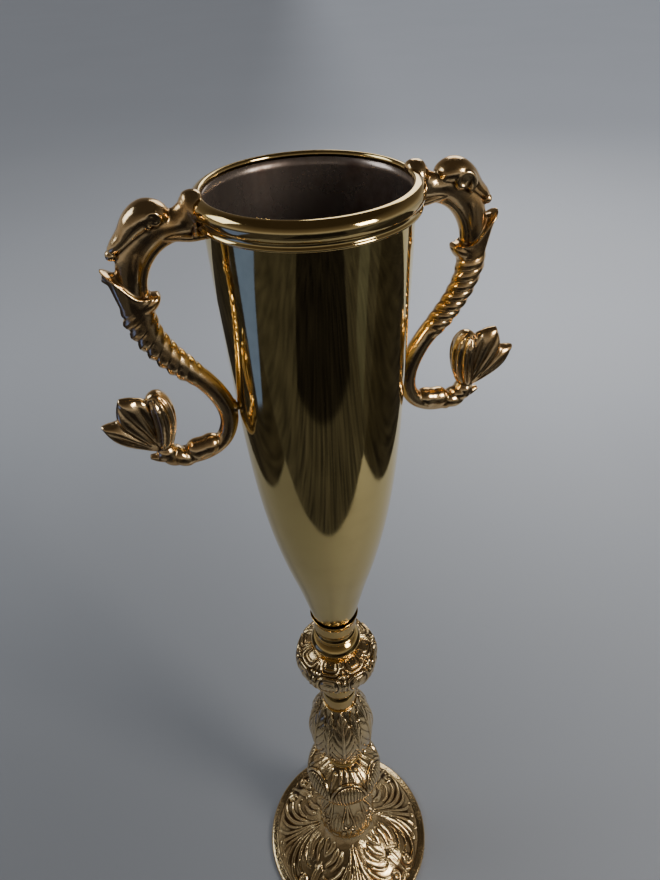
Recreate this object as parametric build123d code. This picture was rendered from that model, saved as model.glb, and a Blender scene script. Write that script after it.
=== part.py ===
"""A tall two-handled brass altar vase, built as the stack of castings and turnings it really is.

A threaded rod runs up the middle. It clamps foot, stem castings, rings and cup between a nut
inside the foot and a nut inside the cup. Two cast sea-serpent handles bite the rim and are
held lower down by one screw each from inside the cup.

Frame: millimetres, +Z up, origin in the middle of the foot's resting face, handles along X.
"""
from build123d import *
import os

os.makedirs("parts", exist_ok=True)

# ---- overall sizes ------------------------------------------------------------------------
HEIGHT = 635.0          # lip above the table
FOOT_R = 76.2           # a six-inch foot
FOOT_H = 44.0           # top of the foot casting
CROWN_R = 20.0          # the foot casting's flat top
REST_INNER_R = 67.0     # the foot rests on the ring between this and its edge
CAST_WALL = 3.4         # wall of the hollow castings
END_WEB = 5.0           # thickness of a casting's end where the rod passes

# ---- tie rod and its fasteners (M8) ---------------------------------------------------------
ROD_R = 4.0
ROD_HOLE_R = 4.5
NUT_ACROSS_FLATS = 13.0
NUT_H = 6.5
WASHER_R = 10.0
WASHER_H = 1.6
LOCK_WASHER_R = 6.4
LOCK_WASHER_H = 2.0
ROD_STANDS_OUT = 2.5    # rod showing past each nut

# ---- joints of the stack, from the foot up ---------------------------------------------------
Z_BASE_CUP = FOOT_H
Z_LOWER_NECK = 106.0
Z_BULB = 120.0
Z_WAIST_RING = 165.0
Z_BALUSTER = 172.0
Z_NECK_RING_LOWER = 254.0
Z_NECK_RING_UPPER = 270.0
Z_KNOP = 288.5
Z_BALL_CAP = 326.0
Z_COLLAR = 340.0
Z_CUP = 352.0           # where the cup's end sits in its collar
Z_COLLAR_LIP = 361.0

# ---- spun cup and its rim ---------------------------------------------------------------------
CUP_WALL = 1.2
CUP_FLOOR = 2.5
CUP_END_R = 12.5
CUP_TOP_R = 43.0        # outside, along the straight top
Z_CUP_STRAIGHT = 612.0  # the cup is cylindrical above this height
Z_CUP_EDGE = 632.5      # the sheet's edge, under the rim ring
RIM_R = 47.2
RIM_FOOT = 624.0        # underside of the rim ring
MOUTH_R = 43.8          # the ring's flared mouth at the lip

# ---- handle fixing (M4) ---------------------------------------------------------------------
Z_FIXING = 536.0
SCREW_R = 2.0
SCREW_HEAD_R = 3.8
SCREW_HEAD_H = 2.4
SCREW_TIP = 46.8        # distance of the screw's tip from the vase's axis
TAP_R = 2.05
SADDLE_R = 5.0
SADDLE_FACE = 38.2      # distance of the saddle washer's flat face from the axis
SADDLE_GAP = 0.06       # the film of lacquer between the washer and the cup
BOSS_R = 4.6


def at(points):
    """Half-profile points (radius, height) as points of the XZ plane."""
    return [(radius, 0, height) for radius, height in points]


def curve(points, **options):
    """A smooth line through half-profile points."""
    return Spline(*at(points), **options)


def lines(points):
    """Straight runs through half-profile points."""
    return Polyline(*at(points))


def turned(*edges):
    """A solid of revolution about Z from the edges of its closed half section."""
    return revolve(make_face(list(edges)), axis=Axis.Z)


def hollow_casting(profile):
    """A hollow casting with a hole for the rod in each end.

    profile is its outside, from the lower end up. The cavity follows it, one wall thickness in,
    and stops one web short of each end.
    """
    (low_r, low_z), (high_r, high_z) = profile[0], profile[-1]
    inside = [(radius - CAST_WALL, height) for radius, height in profile
              if low_z + END_WEB + 1 < height < high_z - END_WEB - 1]
    cavity_floor = low_z + END_WEB
    cavity_roof = high_z - END_WEB
    cavity = [(ROD_HOLE_R, low_z), (ROD_HOLE_R, cavity_floor), (inside[0][0] - 2, cavity_floor),
              *inside, (inside[-1][0] - 2, cavity_roof), (ROD_HOLE_R, cavity_roof),
              (ROD_HOLE_R, high_z), (high_r, high_z)]
    return turned(curve(profile), lines(cavity), lines([(low_r, low_z), (ROD_HOLE_R, low_z)]))


def solid_ring(profile):
    """A small turned ring that the rod passes through; profile is its outside, upwards."""
    low_z, high_z = profile[0][1], profile[-1][1]
    bore = [profile[-1], (ROD_HOLE_R, high_z), (ROD_HOLE_R, low_z), profile[0]]
    return turned(curve(profile), lines(bore))


def washer(radius, hole, low, height):
    """A flat washer on the rod."""
    return Pos(0, 0, low + height / 2) * (Cylinder(radius, height) - Cylinder(hole, height))


def hex_nut(low):
    """A hexagon nut on the rod; its thread is left as a plain hole the size of the rod."""
    body = extrude(RegularPolygon(NUT_ACROSS_FLATS / 2, 6, major_radius=False), NUT_H)
    return Pos(0, 0, low) * (body - Cylinder(ROD_R, 3 * NUT_H))


# ---- foot -----------------------------------------------------------------------------------
def foot():
    """Hollow domed casting: a plain flange, a swelling skirt and a waisted crown."""
    crown_under = FOOT_H - END_WEB
    edge = ThreePointArc(*at([(FOOT_R - 0.9, 0), (FOOT_R, 2.2), (FOOT_R - 1.2, 4.6)]))
    flange = lines([(FOOT_R - 1.2, 4.6), (69.0, 5.6)])
    skirt = curve([(69.0, 5.6), (60.0, 12.5), (45.0, 22.0), (30.0, 32.0), (23.0, 39.0),
                   (CROWN_R, FOOT_H)])
    crown = lines([(CROWN_R, FOOT_H), (ROD_HOLE_R, FOOT_H), (ROD_HOLE_R, crown_under),
                   (15.5, crown_under)])
    inside = curve([(15.5, crown_under), (26.5, 28.5), (42.0, 18.0), (56.5, 9.0), (64.0, 3.6)])
    rest = lines([(64.0, 3.6), (REST_INNER_R, 0), (FOOT_R - 0.9, 0)])
    return turned(edge, flange, skirt, crown, inside, rest)


# ---- cup, collar and rim --------------------------------------------------------------------
CUP_CURVE = [(20.5, 390.0), (27.8, 420.0), (33.5, 450.0), (37.3, 480.0), (39.6, 510.0),
             (40.9, 540.0), (42.1, 580.0)]
CUP_LINE_TANGENTS = ((0.2, 0, 1), (0, 0, 1))


def cup_line(inset, low):
    """The cup's side, inset from the outside by a distance, from its end up to the edge."""
    end = (CUP_END_R - inset, low)
    shoulder = (CUP_TOP_R - inset, Z_CUP_STRAIGHT)
    swell = [(radius - inset, height) for radius, height in CUP_CURVE]
    side = curve([end, *swell, shoulder], tangents=CUP_LINE_TANGENTS)
    return side, lines([shoulder, (CUP_TOP_R - inset, Z_CUP_EDGE)])


def cup_form(inset):
    """The cup's shape as a filled solid, used to cut what lies against it."""
    side, straight = cup_line(inset, Z_CUP)
    back = lines([(CUP_TOP_R - inset, Z_CUP_EDGE), (0, Z_CUP_EDGE), (0, Z_CUP),
                  (CUP_END_R - inset, Z_CUP)])
    return turned(side, straight, back)


def across(radius, low, high):
    """A cylinder along X at the fixing's height, from x = low to x = high."""
    return Pos((low + high) / 2, 0, Z_FIXING) * Rot(0, 90, 0) * Cylinder(radius, high - low)


def cup_body():
    """Spun sheet cup with a thick floor for the nut and two holes for the handle screws."""
    outer, outer_top = cup_line(0, Z_CUP)
    inner, inner_top = cup_line(CUP_WALL, Z_CUP + CUP_FLOOR)
    edge = lines([(CUP_TOP_R, Z_CUP_EDGE), (CUP_TOP_R - CUP_WALL, Z_CUP_EDGE)])
    floor = lines([(CUP_END_R - CUP_WALL, Z_CUP + CUP_FLOOR), (ROD_HOLE_R, Z_CUP + CUP_FLOOR),
                   (ROD_HOLE_R, Z_CUP), (CUP_END_R, Z_CUP)])
    shell = turned(outer, outer_top, edge, inner, inner_top, floor)
    return shell - across(TAP_R + 0.2, -CUP_TOP_R, CUP_TOP_R)


def cup_collar():
    """Turned socket under the cup: a dished lip, a straight band, a cove and a thin edge."""
    outside = [lines([(14.3, Z_COLLAR), (14.3, 341.2)]),
               curve([(14.3, 341.2), (12.7, 344.5), (13.8, 348.2)]),
               lines([(13.8, 348.2), (14.2, 348.9), (14.2, 354.6)]),
               curve([(14.2, 354.6), (14.7, 358.0), (15.7, Z_COLLAR_LIP)])]
    dish = lines([(15.7, Z_COLLAR_LIP), (15.1, Z_COLLAR_LIP), (CUP_END_R + 0.5, 353.4),
                  (CUP_END_R + 0.5, Z_CUP), (ROD_HOLE_R, Z_CUP), (ROD_HOLE_R, Z_COLLAR),
                  (14.3, Z_COLLAR)])
    return turned(*outside, dish)


def rim_outline():
    """The rim ring's outside: a fine bead, a quirk and a bold half-round up to the lip."""
    bead = curve([(CUP_TOP_R + 2.0, RIM_FOOT), (46.1, 624.9), (45.6, 626.3)])
    half_round = ThreePointArc(*at([(45.6, 626.3), (RIM_R, 630.8), (45.2, HEIGHT)]))
    return bead, half_round


def rim_ring():
    """Turned ring over the cup's edge, flaring from the cup's bore to the mouth."""
    flare = curve([(MOUTH_R, HEIGHT), (42.7, 634.2), (CUP_TOP_R - CUP_WALL, Z_CUP_EDGE)])
    seat = lines([(CUP_TOP_R - CUP_WALL, Z_CUP_EDGE), (CUP_TOP_R, Z_CUP_EDGE),
                  (CUP_TOP_R, RIM_FOOT), (CUP_TOP_R + 2.0, RIM_FOOT)])
    return turned(*rim_outline(), lines([(45.2, HEIGHT), (MOUTH_R, HEIGHT)]), flare, seat)


def rim_form():
    """The rim ring filled to the axis, used to cut the handle's bite."""
    back = lines([(45.2, HEIGHT), (0, HEIGHT), (0, RIM_FOOT), (CUP_TOP_R + 2.0, RIM_FOOT)])
    return turned(*rim_outline(), back)


# ---- handles --------------------------------------------------------------------------------
# Stations down the serpent: distance from the axis, height, half depth, half width.
SPINE = [
    (47.5, 627.2, 8.4, 5.6), (54.5, 627.3, 8.2, 6.2), (62.0, 626.9, 9.2, 6.6),
    (69.0, 622.0, 8.0, 6.2), (73.8, 614.5, 6.4, 5.6), (76.0, 606.5, 5.7, 5.3),
    (76.6, 598.5, 6.2, 5.6), (75.3, 589.0, 6.4, 5.9), (72.6, 579.5, 6.1, 5.7),
    (67.0, 569.8, 5.9, 5.6), (60.5, 561.3, 5.8, 5.5), (54.3, 554.0, 5.6, 5.3),
    (49.0, 545.5, 5.3, 5.0), (45.9, 536.0, 4.9, 4.7), (46.0, 527.0, 4.4, 4.4),
    (50.0, 518.6, 4.2, 4.3), (57.5, 514.3, 4.8, 4.8), (65.5, 513.2, 4.8, 4.8),
    (73.0, 514.2, 4.8, 4.7), (79.5, 518.8, 4.6, 4.4),
]
JAW = [(42.0, 617.9), (48.3, 618.2), (56.0, 619.4), (56.0, 627.0), (42.0, 624.6)]
JAW_HALF_WIDTH = 4.6
RIM_KNOB = (49.6, 632.4, 5.2)
VOLUTE = (60.5, 627.8, 5.4)
VOLUTE_HALF_WIDTH = 7.8
MANE = [(58.0, 634.0), (67.3, 634.2), (70.5, 630.1), (78.7, 624.0), (80.5, 621.9),
        (78.9, 616.8), (72.0, 612.0), (66.0, 622.0)]
MANE_HALF_WIDTH = 4.6
DORSAL_FIN = [(76.0, 610.0), (81.0, 611.0), (86.1, 611.0), (86.4, 607.7), (84.3, 603.0),
              (83.0, 595.7), (79.0, 589.0), (74.0, 600.0)]
DORSAL_HALF_WIDTH = 2.8
COLLAR_FIN = [(75.0, 603.0), (70.0, 600.8), (68.0, 598.4), (66.2, 595.6), (68.0, 591.0),
              (72.0, 588.0)]
COLLAR_FIN_HALF_WIDTH = 5.2
LOW_LOBE = [(79.5, 519.5, 3.4, 3.8), (86.0, 528.5, 4.6, 4.8), (93.5, 535.2, 5.8, 5.2),
            (99.5, 538.2, 4.2, 4.4), (102.8, 539.4, 1.8, 2.6)]
MIDDLE_LOBE = [(79.8, 519.0, 3.2, 4.0), (83.5, 530.0, 5.6, 5.8), (88.5, 541.0, 7.2, 6.2),
               (91.6, 548.5, 4.8, 4.8), (92.8, 552.0, 2.4, 3.0)]
CURLED_LOBE = [(79.2, 519.4, 3.0, 4.2), (76.6, 530.5, 4.6, 6.2), (75.9, 540.0, 5.4, 7.0),
               (76.6, 547.5, 4.2, 5.6), (77.0, 551.8, 1.9, 3.4)]


def limb(stations):
    """A solid lofted through oval sections, each square to the line through its neighbours.

    A station is (distance from the axis, height, half depth, half width).
    """
    sections = []
    for index, (reach, height, half_depth, half_width) in enumerate(stations):
        before = stations[max(index - 1, 0)]
        after = stations[min(index + 1, len(stations) - 1)]
        along = (after[0] - before[0], 0, after[1] - before[1])
        place = Plane(origin=(reach, 0, height), x_dir=(0, 1, 0), z_dir=along)
        sections.append(place * Ellipse(half_width, half_depth))
    return loft(sections)


def blade(points, half_width, smooth=True):
    """A flat fin or lobe: its side outline, extruded evenly to both sides."""
    closed = [*points, points[0]]
    edge = Spline(*at(points), periodic=True) if smooth else Polyline(*at(closed))
    return extrude(make_face(edge), half_width, dir=(0, 1, 0), both=True)


def knuckle(place, half_width):
    """A short round boss across the handle."""
    reach, height, radius = place
    return Pos(reach, 0, height) * Rot(90, 0, 0) * Cylinder(radius, 2 * half_width)


def right_handle():
    """One casting: head biting the rim, arched neck, tapering coil and a fan tail."""
    body = limb(SPINE)
    body += blade(JAW, JAW_HALF_WIDTH, smooth=False)
    body += Pos(RIM_KNOB[0], 0, RIM_KNOB[1]) * Sphere(RIM_KNOB[2])
    body += knuckle(VOLUTE, VOLUTE_HALF_WIDTH)
    body += blade(MANE, MANE_HALF_WIDTH)
    body += blade(DORSAL_FIN, DORSAL_HALF_WIDTH)
    body += blade(COLLAR_FIN, COLLAR_FIN_HALF_WIDTH)
    for lobe in (LOW_LOBE, MIDDLE_LOBE, CURLED_LOBE):
        body += limb(lobe)
    body += across(BOSS_R, 40.0, 46.0)
    body -= cup_form(0)
    body -= rim_form()
    return body - across(TAP_R, 38.0, SCREW_TIP + 0.6)


def handle_washer():
    """Saddle washer: flat inside for the screw head, rounded to the cup on the other side."""
    disc = across(SADDLE_R, SADDLE_FACE, CUP_TOP_R) - across(TAP_R + 0.2, 30.0, CUP_TOP_R)
    return disc & cup_form(CUP_WALL + SADDLE_GAP)


def handle_screw():
    """Pan-headed screw from inside the cup; its thread is left as a plain shank."""
    return (across(SCREW_HEAD_R, SADDLE_FACE - SCREW_HEAD_H, SADDLE_FACE)
            + across(SCREW_R, SADDLE_FACE - 1, SCREW_TIP))


def both_sides(shape):
    """A pair: the piece for the right handle and its twin for the left."""
    return Compound(children=[Solid(shape.solid().wrapped),
                              Solid(mirror(shape, about=Plane.YZ).solid().wrapped)])


# ---- the stack, from the table up -----------------------------------------------------------
foot_washer_low = FOOT_H - END_WEB - WASHER_H
lock_washer_low = foot_washer_low - LOCK_WASHER_H
foot_nut_low = lock_washer_low - NUT_H
cup_washer_low = Z_CUP + CUP_FLOOR
cup_nut_low = cup_washer_low + WASHER_H
rod_low = foot_nut_low - ROD_STANDS_OUT
rod_high = cup_nut_low + NUT_H + ROD_STANDS_OUT

right = right_handle()

nodes = {
    "foot": foot(),
    "foot_washer": washer(WASHER_R, ROD_HOLE_R, foot_washer_low, WASHER_H),
    "foot_lock_washer": washer(LOCK_WASHER_R, ROD_HOLE_R, lock_washer_low, LOCK_WASHER_H),
    "foot_nut": hex_nut(foot_nut_low),
    "tie_rod": Pos(0, 0, (rod_low + rod_high) / 2) * Cylinder(ROD_R, rod_high - rod_low),
    "base_cup": hollow_casting([
        (20.0, Z_BASE_CUP), (24.3, 48.5), (26.0, 55.5), (24.8, 64.0), (21.3, 75.0),
        (17.0, 86.0), (13.8, 97.0), (12.0, Z_LOWER_NECK)]),
    "lower_neck": solid_ring([
        (11.5, Z_LOWER_NECK), (13.4, 109.5), (12.0, 114.0), (13.2, Z_BULB)]),
    "gadroon_bulb": hollow_casting([
        (13.5, Z_BULB), (22.5, 124.0), (28.5, 132.0), (31.3, 143.5), (30.0, 152.0),
        (26.5, 157.6), (20.0, 162.5), (12.5, Z_WAIST_RING)]),
    "waist_ring": solid_ring([
        (12.0, Z_WAIST_RING), (14.0, 168.5), (12.0, Z_BALUSTER)]),
    "leaf_baluster": hollow_casting([
        (12.0, Z_BALUSTER), (14.5, 178.0), (19.0, 188.0), (23.0, 200.0), (24.7, 213.5),
        (23.5, 227.5), (20.0, 239.0), (15.5, 248.5), (13.0, Z_NECK_RING_LOWER)]),
    "neck_ring_lower": solid_ring([
        (11.6, Z_NECK_RING_LOWER), (12.5, 258.0), (12.5, 266.0), (11.4, Z_NECK_RING_UPPER)]),
    "neck_ring_upper": solid_ring([
        (11.4, Z_NECK_RING_UPPER), (13.4, 275.0), (13.6, 282.0), (12.2, Z_KNOP)]),
    "knop": hollow_casting([
        (13.0, Z_KNOP), (16.3, 290.6), (20.4, 295.0), (24.4, 300.4), (27.2, 306.0),
        (28.5, 311.5), (27.7, 317.5), (24.2, 322.4), (15.2, Z_BALL_CAP)]),
    "ball_cap": solid_ring([
        (14.9, Z_BALL_CAP), (15.7, 331.0), (14.8, 336.5), (12.4, Z_COLLAR)]),
    "cup_collar": cup_collar(),
    "cup_body": cup_body(),
    "rim_ring": rim_ring(),
    "cup_washer": washer(WASHER_R, ROD_HOLE_R, cup_washer_low, WASHER_H),
    "cup_nut": hex_nut(cup_nut_low),
    "left_handle": mirror(right, about=Plane.YZ),
    "right_handle": right,
    "handle_screws": both_sides(handle_screw()),
    "handle_washers": both_sides(handle_washer()),
}

for name, shape in nodes.items():
    export_step(shape, f"parts/{name}.step")
    size = shape.bounding_box().size
    print(f"{name:18s} {shape.volume / 1000:8.2f} cm3  {size.X:6.1f} {size.Y:6.1f} {size.Z:6.1f}")
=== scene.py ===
# %% [markdown]
# # A two-handled brass altar vase
# The real vase is a stack of hollow castings and turned rings, clamped by one rod, with a spun
# cup on top and two cast sea-serpent handles. The CAD model fixes every size and place. This
# notebook dresses it: each casting gets its chased relief, each turned piece gets a smooth,
# polished skin, and the brass gets its colour, its brown hollows and its wear.

# %% Load the fixed frame
from math import pi

import bpy
import numpy as np
from mathutils import Matrix, Vector


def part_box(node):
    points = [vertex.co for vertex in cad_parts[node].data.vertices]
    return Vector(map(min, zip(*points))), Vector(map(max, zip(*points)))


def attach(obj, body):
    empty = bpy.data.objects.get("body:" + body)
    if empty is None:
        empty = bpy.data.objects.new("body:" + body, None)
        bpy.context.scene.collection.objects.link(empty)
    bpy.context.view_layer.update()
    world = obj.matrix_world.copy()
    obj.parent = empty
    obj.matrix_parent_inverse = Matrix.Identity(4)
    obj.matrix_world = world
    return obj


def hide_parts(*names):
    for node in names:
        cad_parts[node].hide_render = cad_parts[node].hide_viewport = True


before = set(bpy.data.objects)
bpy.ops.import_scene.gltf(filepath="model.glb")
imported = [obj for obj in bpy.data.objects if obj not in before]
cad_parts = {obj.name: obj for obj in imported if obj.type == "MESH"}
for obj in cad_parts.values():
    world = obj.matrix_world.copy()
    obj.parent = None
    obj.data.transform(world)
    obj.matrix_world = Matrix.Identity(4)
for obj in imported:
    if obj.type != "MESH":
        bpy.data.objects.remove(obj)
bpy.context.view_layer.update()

MM = 0.001

# %% [markdown]
# ## The view
# The vase is seen from above and a little to its left, close to a wide lens, so the cup looks
# long and the foot small. The camera hangs by its real place, then turns: a roll about its own
# view line, a tilt down from the horizon and a heading about the vertical. Writing the turn as
# three rotations keeps each number something a person can picture.

# %% Camera
def put(name, data):
    """A new object in the scene, from its camera, lamp or mesh data."""
    thing = bpy.data.objects.new(name, data)
    bpy.context.scene.collection.objects.link(thing)
    return thing


camera_data = bpy.data.cameras.new("camera")
camera_data.lens = 26.63
camera_data.sensor_width = 36.0
camera = put("camera", camera_data)
heading, tilt, roll = np.radians([-14.85, 51.36, -3.15])
camera.matrix_world = (Matrix.Translation((-0.0644, -0.2565, 0.7150))
                       @ Matrix.Rotation(heading, 4, "Z")
                       @ Matrix.Rotation(tilt, 4, "X")
                       @ Matrix.Rotation(roll, 4, "Z"))
bpy.context.scene.camera = camera

# %% [markdown]
# ## Floor, lights and flags
# Polished metal shows the room, so the room is half of its look. The floor is plain and pale, with
# painted shade that darkens it to the front and to the left.
# A mirror in an all-white room looks like grey plastic; a studio hangs black flags where the
# metal should go dark. Here the flags lie on the floor in front and to the sides and are
# seen by reflections only, so the floor itself stays plain. The world does the same job: even
# light for matt surfaces, and a darker, graded sky for mirrors.

# %% Materials by nodes, in short
def node_tree_of(owner):
    """Clears a material's or world's node tree and returns it."""
    owner.use_nodes = True
    owner.node_tree.nodes.clear()
    return owner.node_tree


def add(tree, kind, inputs=None, **settings):
    """Adds a node and sets its properties. Each named input is given a plain value, or a
    (node, output) pair that it is linked to."""
    node = tree.nodes.new(kind)
    for name, value in settings.items():
        setattr(node, name, value)
    for name, value in (inputs or {}).items():
        if isinstance(value, tuple) and isinstance(value[0], bpy.types.Node):
            tree.links.new(value[0].outputs[value[1]], node.inputs[name])
        else:
            node.inputs[name].default_value = value
    return node


def maths(tree, operation, *values):
    """A Math node over its values or links, in order."""
    return add(tree, "ShaderNodeMath", dict(enumerate(values)), operation=operation)


def eased(tree, source, low, high, start=0.0, end=1.0):
    """Takes a value from the range low..high to start..end, flat at both ends."""
    return add(tree, "ShaderNodeMapRange",
               {"Value": source, "From Min": low, "From Max": high, "To Min": start,
                "To Max": end}, interpolation_type="SMOOTHSTEP")


def two_tone(tree, source, dark, light, low=0.0, high=1.0):
    """A colour ramp from dark to light between two places on its scale."""
    ramp = add(tree, "ShaderNodeValToRGB", {"Fac": source})
    for element, place, colour in zip(ramp.color_ramp.elements, (low, high), (dark, light)):
        element.position = place
        element.color = (*colour, 1)
    return ramp


# %% The stage's own directions: right, front (towards the camera) and up
STAGE_HEADING = np.radians(-14.1)
STAGE_TURN = Matrix.Rotation(STAGE_HEADING, 4, "Z")


def on_stage(right, front, up):
    """A point of the stage, in metres from the vase's foot, as a place in the frame."""
    return STAGE_TURN @ Vector((right, -front, up))


def flat(name, corners, material):
    """A flat stage piece from its four corners."""
    mesh = bpy.data.meshes.new(name)
    mesh.from_pydata([tuple(corner) for corner in corners], [], [(0, 1, 2, 3)])
    mesh.materials.append(material)
    piece = put(name, mesh)
    return piece


# %% Floor: pale, faintly cloudy, with painted shade that darkens it to the front and to the left
FLOOR_HALF = 16.0
FLOOR_COLOUR = np.array([0.605, 0.62, 0.65])
floor_material = bpy.data.materials.new("pale floor")
tree = node_tree_of(floor_material)
place = add(tree, "ShaderNodeTexCoord")
clouds = add(tree, "ShaderNodeTexNoise", {"Vector": (place, "Object"), "Scale": 1.5})
pale = two_tone(tree, (clouds, "Fac"), 0.94 * FLOOR_COLOUR, FLOOR_COLOUR)
stage_way = add(tree, "ShaderNodeMapping", {"Vector": (place, "Object"),
                                            "Rotation": (0, 0, -STAGE_HEADING)})
split = add(tree, "ShaderNodeSeparateXYZ", {"Vector": (stage_way, "Vector")})
# Painted shade: the floor's colour falls off to the front and to the left, as the light would.
away = eased(tree, (split, "Y"), -0.10, 1.1, 0.47, 1.25)
across = eased(tree, (split, "X"), -0.35, 0.5, 0.60, 1.0)
both = maths(tree, "MULTIPLY", (away, "Result"), (across, "Result"))
painted_shade_colour = add(tree, "ShaderNodeVectorMath", {0: (pale, "Color"), "Scale": (both, "Value")},
             operation="SCALE")
shader = add(tree, "ShaderNodeBsdfPrincipled", {"Base Color": (painted_shade_colour, "Vector"),
                                                "Roughness": 0.7})
add(tree, "ShaderNodeOutputMaterial", {"Surface": (shader, "BSDF")})
flat("floor", [(-FLOOR_HALF, -FLOOR_HALF, 0), (FLOOR_HALF, -FLOOR_HALF, 0),
               (FLOOR_HALF, FLOOR_HALF, 0), (-FLOOR_HALF, FLOOR_HALF, 0)], floor_material)


# %% Flags: seen in reflections only
def flag_material(name, near, streak):
    """A dim glow between two colours, streaked like boards, for a card that only mirrors see."""
    material = bpy.data.materials.new(name)
    tree = node_tree_of(material)
    place = add(tree, "ShaderNodeTexCoord")
    stretch = add(tree, "ShaderNodeMapping", {"Vector": (place, "Object"), "Scale": (14, 1.2, 1),
                                              "Rotation": (0, 0, -STAGE_HEADING)})
    grain = add(tree, "ShaderNodeTexNoise", {"Vector": (stretch, "Vector"), "Scale": 3.0})
    tone = two_tone(tree, (grain, "Fac"), near, streak, 0.35, 0.7)
    glow = add(tree, "ShaderNodeEmission", {"Color": (tone, "Color")})
    add(tree, "ShaderNodeOutputMaterial", {"Surface": (glow, "Emission")})
    return material


def flag(name, lift, corners, near, streak):
    """A flat card that only reflections see, from four places (right, front) at one height."""
    card = flat(name, [on_stage(*corner, lift) for corner in corners],
                flag_material(name + "_glow", near, streak))
    for ray in ("camera", "diffuse", "transmission", "shadow"):
        setattr(card, "visible_" + ray, False)
    return card


# The boards begin where the pale floor's reflection should end. On them lie a near-black sheet, a
# painted shadow that only reflections see, and two glowing cards.
EDGE_FRONT, EDGE_SIDE, BACK_LEFT, BACK_RIGHT, FAR = 0.305, 0.485, -1.1, -0.7, 4.0
ON_FLOOR, ON_BOARDS = 0.002, 0.004
side_boards = (0.012, 0.011, 0.012), (0.045, 0.043, 0.042)
flag("flag_front", ON_FLOOR, [(-FAR, EDGE_FRONT), (FAR, EDGE_FRONT), (FAR, FAR), (-FAR, FAR)],
     (0.018, 0.018, 0.020), (0.075, 0.075, 0.078))
flag("flag_left", ON_FLOOR, [(-FAR, EDGE_FRONT), (-FAR, BACK_LEFT), (-EDGE_SIDE, BACK_LEFT),
                             (-EDGE_SIDE, EDGE_FRONT)], *side_boards)
flag("flag_right", ON_FLOOR, [(EDGE_SIDE, EDGE_FRONT), (EDGE_SIDE, BACK_RIGHT),
                              (FAR, BACK_RIGHT), (FAR, EDGE_FRONT)], *side_boards)
# Painted shadow: a near-black sheet in front, where a shadow lies on the boards in the
# reflections.
flag("flag_painted_shadow", ON_BOARDS, [(-0.37, 0.68), (0.50, 0.64), (2.30, FAR), (-0.60, FAR)],
     (0.003, 0.003, 0.004), (0.020, 0.019, 0.022))
flag("card_cool", ON_BOARDS, [(-0.74, 0.0), (-0.74, 0.12), (-2.2, 1.5), (-3.0, 0.12)],
     (0.10, 0.17, 0.50), (0.13, 0.21, 0.62))
flag("card_grey", ON_BOARDS, [(0.58, 0.40), (0.68, 0.64), (2.6, 1.8), (2.6, 1.1)],
     (0.05, 0.055, 0.06), (0.11, 0.12, 0.13))


# %% Lights
def soft_light(name, place, size, power, colour):
    """A square soft light aimed at the middle of the vase."""
    data = bpy.data.lights.new(name, "AREA")
    data.shape = "SQUARE"
    data.size = size
    data.energy = power
    data.color = colour
    light = put(name, data)
    light.location = on_stage(*place)
    aim = Vector((0, 0, 0.3)) - light.location
    light.rotation_mode = "QUATERNION"
    light.rotation_quaternion = aim.to_track_quat("-Z", "Y")
    return light


soft_light("window_right", (1.35, 0.95, 1.25), 0.55, 21, (1.0, 0.97, 0.92))
soft_light("window_left", (-1.6, -0.3, 1.6), 0.9, 9, (0.85, 0.92, 1.0))
soft_light("window_back", (0.5, -1.9, 1.5), 1.0, 8, (1.0, 0.98, 0.95))

# %% World: even for matt surfaces, graded for mirrors
world = bpy.data.worlds.new("room")
bpy.context.scene.world = world
tree = node_tree_of(world)
direction = add(tree, "ShaderNodeTexCoord")
split = add(tree, "ShaderNodeSeparateXYZ", {"Vector": (direction, "Generated")})
sky = two_tone(tree, (split, "Z"), (0.34, 0.34, 0.35), (0.030, 0.024, 0.018), 0.0, 0.75)
middle = sky.color_ramp.elements.new(0.28)
middle.color = (0.12, 0.105, 0.09, 1)
mirror_sky = add(tree, "ShaderNodeBackground", {"Color": (sky, "Color")})
even_sky = add(tree, "ShaderNodeBackground", {"Color": (0.52, 0.54, 0.58, 1), "Strength": 0.78})
path = add(tree, "ShaderNodeLightPath")
either = add(tree, "ShaderNodeMixShader", {"Fac": (path, "Is Glossy Ray"),
                                           1: (even_sky, "Background"),
                                           2: (mirror_sky, "Background")})
add(tree, "ShaderNodeOutputWorld", {"Surface": (either, "Shader")})
print("Stage ready")

# %% [markdown]
# ## Surfaces from grids
# Every new piece is a grid of points, computed as one array. A row runs round the vase or round
# a limb, and the rows follow a profile or a path. Two helpers do the plain work: one cuts a
# smooth line into even steps, and one turns a grid into a mesh that faces outwards.

# %% Smooth lines and grids
def smooth_line(points, count, measure=2):
    """A smooth curve through points, as count points evenly spaced along it.

    Between points b and c with neighbours a and d, and f from 0 to 1, it is the Catmull-Rom
    cubic: half of 2b + (c-a)f + (2a-5b+4c-d)f^2 + (3b-a-3c+d)f^3. Only the first `measure`
    columns count as distance; the others, such as a limb's thickness, go along with them.
    """
    given = np.asarray(points, float)
    held = np.vstack([2 * given[0] - given[1], given, 2 * given[-1] - given[-2]])
    spans = len(given) - 1
    steps = np.linspace(0, spans, 32 * spans + 1)
    cell = np.minimum(steps.astype(int), spans - 1)
    f = (steps - cell)[:, None]
    a, b, c, d = (held[cell + shift] for shift in range(4))
    fine = 0.5 * (2 * b + (c - a) * f + (2 * a - 5 * b + 4 * c - d) * f ** 2
                  + (3 * b - a - 3 * c + d) * f ** 3)
    walked = np.hypot(*np.diff(fine[:, :2], axis=0).T) if measure == 2 else 0
    walked = np.concatenate([[0], np.cumsum(walked)])
    even = np.linspace(0, walked[-1], count)
    return np.column_stack([np.interp(even, walked, column) for column in fine.T])


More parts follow.
